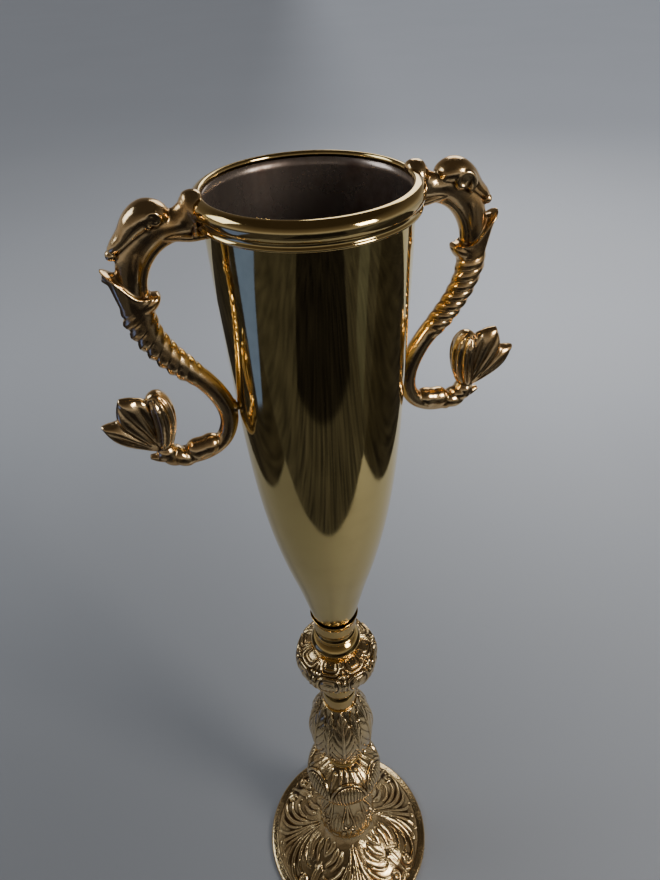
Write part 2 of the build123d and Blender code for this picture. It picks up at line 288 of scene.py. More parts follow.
def grid_piece(name, points, closed_rows=True, capped=False):
    """An object from a (rows, columns, 3) grid of points in mm; columns always close up.

    closed_rows joins the last row to the first, as round a ring's section. capped closes a
    limb's two ends with one face each. If the solid's volume comes out negative, its faces
    point inwards and are turned round.
    """
    rows, columns = points.shape[:2]
    index = np.arange(rows * columns).reshape(rows, columns)
    index = np.hstack([index, index[:, :1]])
    if closed_rows:
        index = np.vstack([index, index[:1]])
    quads = np.stack([index[:-1, :-1], index[:-1, 1:], index[1:, 1:], index[1:, :-1]], axis=-1)
    quads = quads.reshape(-1, 4)
    flat_points = points.reshape(-1, 3) * MM
    a, b, c, d = (flat_points[quads[:, corner]] for corner in range(4))
    volume = np.einsum("ij,ij->", a, np.cross(b, c)) + np.einsum("ij,ij->", a, np.cross(c, d))
    faces = (quads if volume > 0 else quads[:, ::-1]).tolist()
    if capped:
        first, last = index[0, :-1].tolist(), index[-1, :-1].tolist()
        faces += [first[::-1], last] if volume > 0 else [first, last[::-1]]
    mesh = bpy.data.meshes.new(name)
    mesh.from_pydata(flat_points.tolist(), [], faces)
    mesh.polygons.foreach_set("use_smooth", np.ones(len(mesh.polygons), bool))
    mesh.update()
    return put(name, mesh)


def base_of(node):
    """Height of a CAD node's lower face, in mm."""
    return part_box(node)[0][2] / MM


def top_of(node):
    """Height of a CAD node's upper face, in mm."""
    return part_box(node)[1][2] / MM


# %% [markdown]
# ## Hollows
# Brass that has been polished for years is bright on its high points and brown where the cloth
# can't reach. To know where that is, each mesh is relaxed for a few rounds: every point moves
# to the mean of its neighbours. A point that lies under the relaxed surface is in a hollow. The
# result is stored as an attribute that the materials read, so the colour follows the shape.

# %% Find the hollows
def read(items, what, width, kind=float):
    """One property of all a mesh's points or edges, as an array with width columns."""
    values = np.empty(len(items) * width, kind)
    items.foreach_get(what, values)
    return values.reshape(-1, width)


def mark_hollows(piece, rounds, depth):
    """Stores "hollow" on the points: 0.5 on plain ground, 1 in a hollow `depth` mm deep, 0 on
    a ridge as high. It is the distance, along the normal, to the mesh after `rounds` rounds
    in which each point takes the mean place of its neighbours."""
    mesh = piece.data
    count = len(mesh.vertices)
    points, normals = read(mesh.vertices, "co", 3), read(mesh.vertices, "normal", 3)
    edges = read(mesh.edges, "vertices", 2, int)
    one, other = edges.T
    neighbours = np.maximum(np.bincount(edges.ravel(), minlength=count), 1)
    relaxed = points
    for _ in range(rounds):
        relaxed = np.column_stack([
            (np.bincount(one, relaxed[other, axis], count)
             + np.bincount(other, relaxed[one, axis], count)) / neighbours for axis in range(3)])
    below = np.einsum("ij,ij->i", relaxed - points, normals) / MM
    hollow = np.clip(0.5 + 0.5 * below / depth, 0, 1)
    layer = mesh.attributes.new("hollow", "FLOAT", "POINT")
    layer.data.foreach_set("value", hollow.astype(np.float32))
    return hollow


# %% [markdown]
# ## Brass
# One node group holds what all the brass here shares: a bright colour on the high points, a
# brown one in the hollows, cloudy tarnish over both, fine polishing scratches and a small
# unevenness of the surface. Each finish places it with its own values. The Principled shader
# stays in each material, because its metal and its roughness are what the export reads.

# %% Node group: aged brass
SHARED = [("Bright", "NodeSocketColor", (0.9, 0.7, 0.36, 1)),
          ("Brown", "NodeSocketColor", (0.12, 0.06, 0.02, 1)),
          ("Tarnish", "NodeSocketColor", (0.5, 0.33, 0.14, 1)),
          ("Hollow", "NodeSocketFloat", 0.5),
          ("Tarnish Amount", "NodeSocketFloat", 0.3),
          ("Cloud Scale", "NodeSocketFloat", 30.0),
          ("Polished Roughness", "NodeSocketFloat", 0.1),
          ("Dull Roughness", "NodeSocketFloat", 0.5),
          ("Grain Scale", "NodeSocketFloat", 900.0),
          ("Matting", "NodeSocketFloat", 0.0),
          ("Streak", "NodeSocketFloat", 0.0)]
aged_brass = bpy.data.node_groups.new("aged_brass", "ShaderNodeTree")
sockets = aged_brass.interface
for name, kind, usual in SHARED:
    made = sockets.new_socket(name=name, in_out="INPUT", socket_type=kind)
    made.default_value = usual
sockets.new_socket(name="Colour", in_out="OUTPUT", socket_type="NodeSocketColor")
sockets.new_socket(name="Roughness", in_out="OUTPUT", socket_type="NodeSocketFloat")
sockets.new_socket(name="Height", in_out="OUTPUT", socket_type="NodeSocketFloat")
given = add(aged_brass, "NodeGroupInput")
place = add(aged_brass, "ShaderNodeTexCoord")

# %% Its colour: tarnish in clouds, then brown in the hollows
clouds = add(aged_brass, "ShaderNodeTexNoise",
             {"Vector": (place, "Object"), "Scale": (given, "Cloud Scale"), "Detail": 5.0,
              "Roughness": 0.62})
cloud_edge = eased(aged_brass, (clouds, "Fac"), 0.42, 0.68)
hollow_edge = eased(aged_brass, (given, "Hollow"), 0.42, 0.95)
tarnish_mask = maths(aged_brass, "MULTIPLY", (cloud_edge, "Result"), (given, "Tarnish Amount"))
tarnished = add(aged_brass, "ShaderNodeMix",
                {"Factor": (tarnish_mask, "Value"), "A": (given, "Bright"),
                 "B": (given, "Tarnish")}, data_type="RGBA")
browned = add(aged_brass, "ShaderNodeMix",
              {"Factor": (hollow_edge, "Result"), "A": (tarnished, "Result"),
               "B": (given, "Brown")}, data_type="RGBA")

# %% Its roughness: dull where tarnished or brown, with polishing streaks on top
dull_mask = maths(aged_brass, "MAXIMUM", (tarnish_mask, "Value"), (hollow_edge, "Result"))
rough = add(aged_brass, "ShaderNodeMapRange",
            {"Value": (dull_mask, "Value"), "To Min": (given, "Polished Roughness"),
             "To Max": (given, "Dull Roughness")})
long_way = add(aged_brass, "ShaderNodeMapping", {"Vector": (place, "Object"),
                                                 "Scale": (1.0, 1.0, 0.045)})
streaks = add(aged_brass, "ShaderNodeTexNoise", {"Vector": (long_way, "Vector"),
                                                 "Scale": 260.0, "Detail": 3.0})
streak_amount = maths(aged_brass, "MULTIPLY", (streaks, "Fac"), (given, "Streak"))
rough_sum = maths(aged_brass, "ADD", (rough, "Result"), (streak_amount, "Value"))

# %% Its height: fine grain, with matting lumps if asked
grain = add(aged_brass, "ShaderNodeTexNoise",
            {"Vector": (place, "Object"), "Scale": (given, "Grain Scale"), "Detail": 2.0})
lumps = add(aged_brass, "ShaderNodeTexNoise",
            {"Vector": (place, "Object"), "Scale": 480.0, "Detail": 3.0})
height = maths(aged_brass, "MULTIPLY_ADD", (lumps, "Fac"), (given, "Matting"), (grain, "Fac"))
add(aged_brass, "NodeGroupOutput", {"Colour": (browned, "Result"),
                                    "Roughness": (rough_sum, "Value"),
                                    "Height": (height, "Value")})
print("Node group sockets:", len(sockets.items_tree))


# %% Finishes
def metal(material, colour, roughness, height, strength, distance, metallic=1.0):
    """Ends a material with a bump, a Principled shader and its output, and returns it."""
    tree = material.node_tree
    relief = add(tree, "ShaderNodeBump", {"Height": height, "Strength": strength,
                                          "Distance": distance})
    shader = add(tree, "ShaderNodeBsdfPrincipled",
                 {"Base Color": colour, "Roughness": roughness, "Metallic": metallic,
                  "Normal": (relief, "Normal")})
    add(tree, "ShaderNodeOutputMaterial", {"Surface": (shader, "BSDF")})
    return material


def brass(name, bump, metallic=1.0, **values):
    """A brass finish: the aged_brass group with its own values, in front of a Principled. Its
    Hollow comes from the mesh, unless a plain value is given."""
    material = bpy.data.materials.new(name)
    tree = node_tree_of(material)
    own_values = {label.replace("_", " "): value for label, value in values.items()}
    if "Hollow" not in own_values:
        attribute = add(tree, "ShaderNodeAttribute", attribute_name="hollow")
        own_values["Hollow"] = (attribute, "Fac")
    group = add(tree, "ShaderNodeGroup", own_values, node_tree=aged_brass)
    return metal(material, (group, "Colour"), (group, "Roughness"), (group, "Height"), bump,
                 0.0002, metallic)


cast_brass = brass("cast brass, chased", 0.35,
                   Bright=(0.86, 0.65, 0.34, 1), Brown=(0.065, 0.033, 0.012, 1),
                   Tarnish=(0.50, 0.31, 0.13, 1), Tarnish_Amount=0.6, Cloud_Scale=45.0,
                   Polished_Roughness=0.12, Dull_Roughness=0.40, Grain_Scale=1400.0,
                   Matting=3.0)
handle_brass = brass("cast brass, handles", 0.12,
                     Bright=(0.88, 0.63, 0.33, 1), Brown=(0.075, 0.036, 0.013, 1),
                     Tarnish=(0.70, 0.34, 0.07, 1), Tarnish_Amount=0.5, Cloud_Scale=60.0,
                     Polished_Roughness=0.15, Dull_Roughness=0.38, Grain_Scale=1400.0,
                     Matting=2.0)
turned_brass = brass("turned brass", 0.04,
                     Bright=(0.80, 0.56, 0.21, 1), Brown=(0.12, 0.07, 0.03, 1),
                     Tarnish=(0.56, 0.35, 0.12, 1), Tarnish_Amount=0.4, Cloud_Scale=70.0,
                     Polished_Roughness=0.09, Dull_Roughness=0.24, Grain_Scale=2200.0,
                     Matting=0.5)
spun_brass = brass("spun brass, mirror polish", 0.02,
                   Bright=(0.84, 0.66, 0.27, 1), Brown=(0.5, 0.36, 0.16, 1),
                   Tarnish=(0.64, 0.48, 0.19, 1), Tarnish_Amount=0.4, Cloud_Scale=22.0,
                   Polished_Roughness=0.035, Dull_Roughness=0.11, Grain_Scale=2600.0,
                   Streak=0.05, Hollow=0.0)
inner_brass = brass("tarnished inside", 0.10, metallic=0.9,
                    Bright=(0.38, 0.31, 0.26, 1), Brown=(0.05, 0.03, 0.02, 1),
                    Tarnish=(0.075, 0.033, 0.022, 1), Tarnish_Amount=0.85, Cloud_Scale=28.0,
                    Polished_Roughness=0.18, Dull_Roughness=0.42, Grain_Scale=900.0,
                    Streak=0.12, Hollow=0.0)
rim_brass = brass("rim brass, mirror polish", 0.03,
                  Bright=(0.82, 0.61, 0.26, 1), Brown=(0.3, 0.2, 0.08, 1),
                  Tarnish=(0.58, 0.39, 0.14, 1), Tarnish_Amount=0.4, Cloud_Scale=50.0,
                  Polished_Roughness=0.06, Dull_Roughness=0.18, Grain_Scale=2200.0, Hollow=0.0)
print("Finishes:", [m.name for m in bpy.data.materials])


# %% Hand a piece to the frame
def settle(piece, node, slot_name, *materials):
    """Gives a finished piece its materials and its body, and hides its CAD node."""
    for material in materials:
        piece.data.materials.append(material)
    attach(piece, "root")
    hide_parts(node)
    print(f"{piece.name}: {len(piece.data.polygons)} faces")
    return piece


# %% [markdown]
# ## Turned rings
# The small rings, the collar and the ball cap came off a lathe. Each one is its half section,
# carried round the axis. The section is a closed loop: up the outside, across, and down the
# hole for the rod, so the piece is a real ring with no open edge. A corner is three close
# points, which the smooth shading turns into a small polished radius instead of a smear.

# %% Carry a section round the axis
ROD_HOLE = 4.5


def carried_round(name, section, columns, lift=None, start=0.0):
    """A closed ring: radius and height of the section at every angle from 0 to 2 pi.

    Angle 0 is the front, -Y, and it grows towards +X: x = r sin a, y = -r cos a.
    """
    angle = start + np.arange(columns) * 2 * pi / columns
    radius = np.repeat(section[:, :1], columns, axis=1)
    height = np.repeat(section[:, 1:], columns, axis=1)
    if lift is not None:
        radius = radius + lift[0]
        height = height + lift[1]
    points = np.stack([radius * np.sin(angle), -radius * np.cos(angle), height], axis=-1)
    return grid_piece(name, points)


def ring_section(outside, low, high):
    """Closes an outside line with flat faces and the rod's hole."""
    foot_r, top_r = outside[0][0], outside[-1][0]
    return np.vstack([
        [(foot_r - 0.25, low), (foot_r - 0.08, low + 0.08)], outside,
        [(top_r - 0.08, high - 0.08), (top_r - 0.25, high), (ROD_HOLE, high), (ROD_HOLE, low)]])


def raised(points, low):
    """A section's points, with their heights taken from low."""
    return [(radius, low + height) for radius, height in points]


def turned_ring(node, bulges):
    """A ring between a node's faces; bulges are (radius, height above its lower face)."""
    low, high = base_of(node), top_of(node)
    outside = smooth_line(raised(bulges, low), 40)
    piece = carried_round(node + "_turned", ring_section(outside, low, high), 160)
    mark_hollows(piece, 10, 0.5)
    return settle(piece, node, "turned_brass", turned_brass)


turned_ring("lower_neck", [(11.6, 0.25), (13.4, 3.6), (12.7, 5.6), (12.0, 8.2), (12.4, 11.0),
                           (13.2, 13.75)])
turned_ring("waist_ring", [(12.0, 0.25), (13.6, 1.9), (14.0, 3.5), (13.5, 5.2), (12.0, 6.75)])
turned_ring("neck_ring_lower", [(11.6, 0.25), (12.1, 1.4), (12.5, 4.0), (12.5, 11.8),
                                (12.2, 13.8), (11.4, 15.75)])
turned_ring("neck_ring_upper", [(11.4, 0.25), (12.6, 2.0), (13.5, 5.4), (13.7, 11.0),
                                (13.2, 15.4), (12.2, 18.25)])
turned_ring("ball_cap", [(14.4, 0.25), (16.0, 1.7), (16.9, 4.2), (16.7, 6.8), (15.2, 9.8),
                         (12.9, 12.2), (11.2, 13.75)])

# %% Collar
collar_low = base_of("cup_collar")
collar_lip = top_of("cup_collar")
cup_low = base_of("cup_body")
collar_outside = np.vstack([
    raised([(14.05, 0), (14.3, 0.2), (14.3, 1.0), (14.1, 1.25)], collar_low),
    smooth_line(raised([(13.5, 1.7), (12.7, 4.5), (13.6, 7.9)], collar_low), 18),
    raised([(13.9, 8.4), (14.2, 8.8)], collar_low),
    smooth_line(raised([(14.25, 9.4), (14.25, 14.6), (14.7, 17.8), (15.65, 20.7)],
                       collar_low), 24),
    [(15.6, collar_lip - 0.05), (15.35, collar_lip), (15.15, collar_lip - 0.1)],
    smooth_line([(15.0, collar_lip - 0.5), (14.1, 356.6), (13.1, 353.4)], 14),
    [(13.0, cup_low), (ROD_HOLE, cup_low), (ROD_HOLE, collar_low)]])
collar = carried_round("cup_collar_turned", collar_outside, 192)
mark_hollows(collar, 10, 0.6)
settle(collar, "cup_collar", "turned_brass", turned_brass)

# %% [markdown]
# ## The cup and its rim
# The cup is one sheet of brass spun over a form: long, nearly straight at the top and drawn in
# to a narrow end. It is a mirror, so its skin has to be smooth to a hair. The profile passes
# through the CAD cup's own radii. A spun cup is never quite round, and the reflections of real
# ones waver, so a ripple of a few hundredths of a millimetre is added. Inside, nobody
# polishes: the same mesh has a second, brown material there.

# %% Cup
CUP_WALL, CUP_FLOOR = 1.2, 2.5
INSIDE_FROM = 3.2       # the inside wall starts this high above the cup's low end
cup_top = top_of("cup_body")
cup_profile = [(12.5, cup_low), (15.1, 365.0), (20.5, 390.0), (27.8, 420.0), (33.5, 450.0),
               (37.3, 480.0), (39.6, 510.0), (40.9, 540.0), (42.1, 580.0), (43.0, 612.0),
               (43.0, cup_top)]
ROWS, COLUMNS = 150, 288
cup_outside = smooth_line(cup_profile, ROWS)
cup_inside = cup_outside[cup_outside[:, 1] > cup_low + INSIDE_FROM][::-2] - (CUP_WALL, 0)
cup_section = np.vstack([
    cup_outside, cup_inside,
    [(cup_inside[-1, 0] - 0.4, cup_low + CUP_FLOOR), (ROD_HOLE, cup_low + CUP_FLOOR),
     (ROD_HOLE, cup_low)]])
around = np.arange(COLUMNS) * 2 * pi / COLUMNS
up = cup_section[:, 1:]
ripple = (0.035 * np.sin(2 * around + 0.4 + up / 160) + 0.016 * np.sin(5 * around + up / 45)
          + 0.010 * np.sin(9 * around - up / 28)) * np.clip((up - cup_low) / 60, 0, 1)
ripple = ripple * np.clip((cup_top - up) / 30, 0, 1)
cup = carried_round("cup_spun", cup_section, COLUMNS, lift=(ripple, 0 * ripple))
is_inside = np.arange(len(cup.data.polygons)) >= (ROWS - 1) * COLUMNS
cup.data.polygons.foreach_set("material_index", is_inside.astype(np.int32))
settle(cup, "cup_body", "spun_brass", spun_brass, inner_brass)

# %% Rim ring
rim_low = base_of("rim_ring")
lip = top_of("rim_ring")
ROUND_R, ROUND_Z = 43.0, 630.75     # the middle of the half round
swing = np.linspace(-0.30 * pi, 0.52 * pi, 40)
half_round = np.column_stack([ROUND_R + 4.2 * np.cos(swing), ROUND_Z + 4.25 * np.sin(swing)])
rim_section = np.vstack([
    [(43.0, rim_low), (44.6, rim_low)],
    smooth_line(raised([(45.2, 0.02), (46.0, 0.4), (46.2, 1.0), (45.9, 1.6), (45.6, 2.0)],
                       rim_low), 14),
    half_round[half_round[:, 1] > rim_low + 2.4],
    [(42.2, lip - 0.35), (41.85, lip - 1.1), (41.8, cup_top + 0.05), (42.0, cup_top),
     (43.0, cup_top)]])
rim = carried_round("rim_turned", rim_section, 320)
settle(rim, "rim_ring", "rim_brass", rim_brass)

# %% [markdown]
# ## Relief on castings
# A chaser works a few motifs and repeats them. So the relief is drawn once, on half of one
# sector, then mirrored and repeated round the axis. The drawing is made of ridges: a ridge is a
# rounded swelling that follows a path and may narrow along it. Where ridges meet, the higher
# one wins, which leaves the crisp valleys that chased work has. The heights then push the
# casting's skin out along its own normal.

# %% Ridges, beads and the casting itself
def ridge(x, y, path, width, height, tip=1.0, root=1.0):
    """Height of a rounded ridge that follows a path over the points x, y.

    Its half width is width, times root at the start (over the first quarter) and going evenly
    to tip at the end. At distance d from the path it is height (1 - (d / half width)^2), made
    lower by the root of the same taper, and 0 beyond the half width.
    """
    line = smooth_line(path, 26)
    start, step = line[:-1], np.diff(line, axis=0)
    from_x, from_y = x[..., None] - start[:, 0], y[..., None] - start[:, 1]
    along = (from_x * step[:, 0] + from_y * step[:, 1]) / (step ** 2).sum(axis=1)
    along = np.clip(along, 0, 1)
    distance = np.hypot(from_x - along * step[:, 0], from_y - along * step[:, 1])
    share = (np.arange(len(step)) + along) / len(step)
    taper = (1 + (tip - 1) * share) * (root + (1 - root) * np.clip(4 * share, 0, 1))
    rise = np.sqrt(taper) * np.clip(1 - (distance / (width * taper)) ** 2, 0, 1)
    return height * rise.max(axis=-1)


def bead(x, y, place, radius, height):
    """A round boss: height times the square root of 1 - (d / radius)^2."""
    distance = np.hypot(x - place[0], y - place[1])
    return height * np.sqrt(np.clip(1 - (distance / radius) ** 2, 0, 1))


def highest(x, y, strokes, beads=()):
    """The highest of all strokes and beads, each given as what ridge or bead takes after y."""
    return np.maximum.reduce([ridge(x, y, *stroke) for stroke in strokes]
                             + [bead(x, y, *boss) for boss in beads])


def step_up(value, low, high):
    """0 below low, 1 above high, and the smooth 3t^2 - 2t^3 between."""
    t = np.clip((value - low) / (high - low), 0, 1)
    return t * t * (3 - 2 * t)


def walk(line):
    """The unit direction at each point of a flat line, and the distance walked to it."""
    along = np.gradient(line, axis=0)
    walked = np.concatenate([[0], np.cumsum(np.hypot(*np.diff(line, axis=0).T))])
    return along / np.hypot(*along.T)[:, None], walked


def casting(name, outside, back, relief, folds, rows, columns, start=0.0):
    """A ring with relief on its outside.

    relief(angle, radius, walked) gives heights over half a sector, with the angle measured from
    the sector's middle and walked along the profile from its lower end. The skin moves by that
    height along the profile's normal, and the relief fades out at both ends.
    """
    line = smooth_line(outside, rows)
    along, walked = walk(line)
    normal = np.column_stack([along[:, 1], -along[:, 0]])
    half = columns // (2 * folds)
    angle = (np.arange(half) + 0.5) * pi / folds / half
    heights = relief(*np.broadcast_arrays(angle[None, :], line[:, :1], walked[:, None]))
    heights = heights * (step_up(walked, 0, 1.2) * step_up(walked[-1] - walked, 0, 1.2))[:, None]
    heights = np.tile(np.hstack([heights, heights[:, ::-1]]), (1, folds))
    section = np.vstack([line, back])
    bare = np.zeros((len(back), heights.shape[1]))
    lift = (np.vstack([heights * normal[:, :1], bare]), np.vstack([heights * normal[:, 1:], bare]))
    return carried_round(name, section, heights.shape[1], lift, start + angle[0])


def closing(outside, low, high):
    """The unseen part of a stem casting's section: its end faces and the rod's hole."""
    return [(outside[-1][0] - 0.5, high), (ROD_HOLE, high), (ROD_HOLE, low),
            (outside[0][0] - 0.5, low)]


def stem_casting(node, profile, relief, folds, rows, columns, start=0.0, rounds=14, depth=0.35):
    """A stem casting between its node's faces; profile heights are above the lower face."""
    low, high = base_of(node), top_of(node)
    outside = raised(profile, low)
    piece = casting(node + "_chased", outside, closing(outside, low, high), relief, folds,
                    rows, columns, start)
    mark_hollows(piece, rounds, depth)
    return settle(piece, node, "cast_brass", cast_brass)


# %% [markdown]
# ## The foot
# The foot is a shallow dome with a plain flange. Its ornament is a pair of leafy C-scrolls that
# lean away from a fan of flutes, four times round. The strokes are given as (degrees from the
# fan's middle, radius in mm), because that is how a foot is set out with dividers, and they are
# drawn on the flat plan, where distances are true.

# %% Foot relief
FOOT_STROKES = [
    # the scroll's long outer rib, which curls in at its end
    ([(4.5, 28), (7.5, 40), (11.5, 50), (18.5, 59), (27, 64.5), (34.5, 65.8), (39.5, 62.5),
      (38.5, 58.8), (35.2, 58.2)], 2.5, 2.4, 0.62),
    # its two inner ribs
    ([(9, 37), (12.5, 43), (17.5, 50), (25, 56.5), (32, 59)], 2.3, 1.9, 0.5),
    ([(16, 40), (19.5, 44.5), (25, 48.5), (31, 51.5), (36.5, 51.0)], 2.0, 1.6, 0.4),
    # three leaf lobes in the scroll's bowl
    ([(19, 30), (23.5, 38), (30.5, 44.5)], 3.2, 1.8, 0.35),
    ([(28, 29), (32.5, 37), (38.5, 43)], 3.4, 1.7, 0.4),
    ([(37, 26), (40.5, 32), (45, 36.5)], 3.2, 1.5, 0.5),
    # the fan's flutes
    ([(0, 26), (0, 45), (0, 62)], 1.9, 1.8, 0.8),
    ([(2.2, 31), (3.0, 45), (4.6, 59), (7.5, 65)], 1.7, 1.7, 0.6),
    ([(4.8, 43), (8.0, 53), (13, 61), (18, 65.5)], 1.6, 1.6, 0.6),
    # the small palm between two pairs of scrolls
    ([(45, 43), (45, 55), (45, 66.5)], 2.1, 1.9, 0.5),
    ([(43.2, 45), (42.6, 52), (43.2, 57.5)], 1.7, 1.4, 0.5),
    ([(42.5, 66), (40.5, 68), (37.8, 68)], 1.3, 1.0, 0.5),
]
FOOT_BEADS = [((35.3, 61.6), 2.3, 2.1), ((22.5, 62.6), 1.0, 0.8), ((45, 69.3), 1.5, 0.9),
              ((9.5, 67.6), 1.5, 1.1), ((0, 66.2), 1.9, 1.4), ((41.5, 47.5), 1.4, 1.2)]


def on_plan(degrees, radius):
    """A point of the foot's plan, from degrees and radius."""
    turn = np.radians(degrees)
    return radius * np.sin(turn), radius * np.cos(turn)


def foot_relief(angle, radius, walked):
    """The highest stroke or bead at each point, over a low swelling under the leafwork."""
    x, y = radius * np.sin(angle), radius * np.cos(angle)
    strokes = [([on_plan(*point) for point in path], *shape, 0.3)
               for path, *shape in FOOT_STROKES]
    beads = [(on_plan(*place), *shape) for place, *shape in FOOT_BEADS]
    swelling = 1.1 * ridge(x, y, [on_plan(14, 36), on_plan(22, 50), on_plan(34, 57)], 12, 1)
    return swelling + highest(x, y, strokes, beads)


FOOT_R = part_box("foot")[1][0] / MM
foot_top = top_of("foot")
foot_outside = [(70.2, 5.3), (69.0, 5.65), (68.2, 6.6), (64.0, 9.7), (60.0, 12.5), (52.0, 17.8),
                (45.0, 22.0), (37.0, 27.0), (30.0, 32.0), (25.6, 36.2), (22.2, 40.2),
                (20.0, foot_top)]
foot_back = np.vstack([
    [(19.5, foot_top), (ROD_HOLE, foot_top), (ROD_HOLE, foot_top - 5), (15.5, foot_top - 5)],
    smooth_line([(16.5, 38.4), (26.5, 28.5), (42.0, 18.0), (56.5, 9.0), (63.6, 4.0)], 30),
    [(64.2, 3.3), (66.8, 0.15), (67.2, 0), (75.0, 0), (75.5, 0.15)],
    smooth_line([(75.8, 0.5), (FOOT_R, 2.2), (75.8, 3.8), (74.9, 4.55)], 12),
    [(73.8, 4.75), (71.4, 5.15)]])
foot = casting("foot_chased", foot_outside, foot_back, foot_relief, folds=4, rows=132,
               columns=512, start=np.radians(-7))
mark_hollows(foot, 14, 0.45)
settle(foot, "foot", "cast_brass", cast_brass)

# %% [markdown]
# ## The base cup
# A bell-shaped casting stands on the foot. Six plain arched panels run round it. Their raised
# frames curl into small volutes low down, with a leaf between each pair, and a row of beads
# runs along the bottom edge.

# %% Base cup
BASE_SCALE = 21.0       # the drawing's width per radian, in mm


def base_cup_relief(angle, radius, walked):
    """Frames, volutes, leaves and beads; x is the angle times BASE_SCALE, y is walked."""
    x, y = angle * BASE_SCALE, walked
    edge = pi / 6 * BASE_SCALE
    strokes = [
        # the frame's rib down to its volute, and the vein between two frames
        ([(edge - 0.4, 64), (edge - 1.6, 52), (edge - 3.8, 41), (edge - 5.6, 32),
          (edge - 5.2, 26), (edge - 3.0, 24.4), (edge - 1.9, 26.6), (edge - 3.3, 28.2)],
         1.15, 1.35, 0.8),
        ([(edge, 66), (edge, 50), (edge, 33)], 1.3, 1.1, 1.5),
        # the leaf, its side leaf, and the small one under the panel
        ([(edge, 24), (edge, 17), (edge, 10)], 2.6, 1.5, 0.3),
        ([(edge - 3.6, 20.5), (edge - 5.0, 15), (edge - 5.2, 10.5)], 1.9, 1.1, 0.3),
        ([(0, 13.5), (0, 11), (0, 8.5)], 3.4, 0.9, 0.5)]
    panel = 0.9 * np.clip(1 - (x / 7.0) ** 2 - ((y - 29) / 13) ** 2, 0, 1) ** 0.5
    panel += ridge(x, y, [(0, 41), (0, 30), (0, 19)], 1.4, 0.8, 0.5, 0.3)
    panel += ridge(x, y, [(1.6, 39), (3.6, 31), (2.2, 21)], 1.1, 0.7, 0.4, 0.3)
    bead_step = edge / 5
    beads = bead(np.mod(x, bead_step) - bead_step / 2, y, (0, 3.0), 1.05, 1.1)
    return np.maximum.reduce([highest(x, y, strokes), panel, beads])


stem_casting("base_cup", [(20.0, 0.0), (20.4, 1.5), (23.6, 4.6), (25.2, 11.0), (24.0, 20.0),
                          (20.5, 31.0), (16.3, 42.0), (13.3, 53.0), (12.0, 62.0)],
             base_cup_relief, folds=6, rows=120, columns=480, start=np.radians(18))

# %% [markdown]
# ## The gadrooned bulb
# Six shell fans stand round the bulb, each with flutes that spread from a point near the bottom
# under an arched rib. Between the arches sits a leaf tip, and short gadroons fill the underside.

# %% Bulb
BULB_SCALE = 28.0


def bulb_relief(angle, radius, walked):
    """Flutes that spread upwards inside an oval, an arch round it, tips above and gadroons
    below. A flute's place is x over a width that grows with height: that spreads them."""
    x, y = angle * BULB_SCALE, walked
    edge = pi / 6 * BULB_SCALE
    inside = step_up(1 - (x / 12.9) ** 2 - ((y - 28.5) / 17.5) ** 2, 0, 0.10)
    flutes = 1.15 * np.abs(np.cos(pi * 3.5 * x / (6 + 0.13 * (y - 14)))) ** 0.7 * inside
    strokes = [
        # the arch, the leaf tip between two arches, and two petals above
        ([(0, 47.6), (5, 46.6), (9.6, 43.4), (12.8, 37.5), (13.8, 30), (12.6, 20)], 1.3, 1.5),
        ([(edge, 54), (edge, 47), (edge, 40)], 2.9, 1.5, 0.35),
        ([(0, 57.5), (0, 53.5), (0, 50)], 2.5, 1.1, 0.5),
        ([(7.3, 57), (7.3, 52.5), (7.3, 48.5)], 2.3, 1.1, 0.5)]
    gadroons = 0.9 * np.abs(np.sin(angle * 24)) ** 0.6
    gadroons = gadroons * step_up(y, 2, 5) * step_up(16.5 - y, 0, 2.5)
    return np.maximum.reduce([flutes, gadroons, highest(x, y, strokes)])


stem_casting("gadroon_bulb", [(13.5, 0.0), (16.2, 1.4), (21.8, 4.2), (27.2, 11.2), (29.8, 19.0),
                              (30.2, 25.0), (28.6, 31.8), (25.2, 36.9), (19.2, 41.6),
                              (15.3, 43.8), (12.5, 45.0)],
             bulb_relief, folds=6, rows=130, columns=576, start=np.radians(-9))

# %% [markdown]
# ## The leaf baluster
# Six acanthus leaves stand round the baluster with a slim leaf between each two. A formula
# draws them better than strokes: a leaf's half width is a long oval whose edge is cut into
# lobes, its body swells towards the midrib, and slanting veins run from the midrib to the lobes.

# %% Baluster
LEAF_SCALE = 21.0


def leaf(x, y, low, high, width, lobes, thick):
    """An upright leaf between two heights. Its half width is width sin(pi t^1.1)^0.6, cut by
    lobes, with t the height in it from 0 to 1; veins curve up and out from the midrib."""
    t = np.clip((y - low) / (high - low), 0, 1)
    slanted = t - 0.27 * (np.abs(x) / width) ** 1.3
    tooth = np.abs(np.sin(pi * lobes * slanted))
    half_width = width * np.sin(pi * t ** 1.1) ** 0.6 * (0.84 + 0.16 * tooth)
    inside = np.clip(half_width - np.abs(x), 0, None)
    body = thick * step_up(inside, 0, 0.8)
    crowned = 0.5 * thick * np.clip(1 - (x / (half_width + 1e-6)) ** 2, 0, 1)
    veins = 0.5 * thick * (1 - tooth) ** 1.5 * step_up(np.abs(x), 0.5, 1.8)
    midrib = 0.8 * np.clip(1 - (np.abs(x) / 0.85) ** 2, 0, 1) * (t > 0.02) * (t < 0.98)
    return (body + (crowned - veins) * (body > 0) + midrib) * (t > 0) * (t < 1)


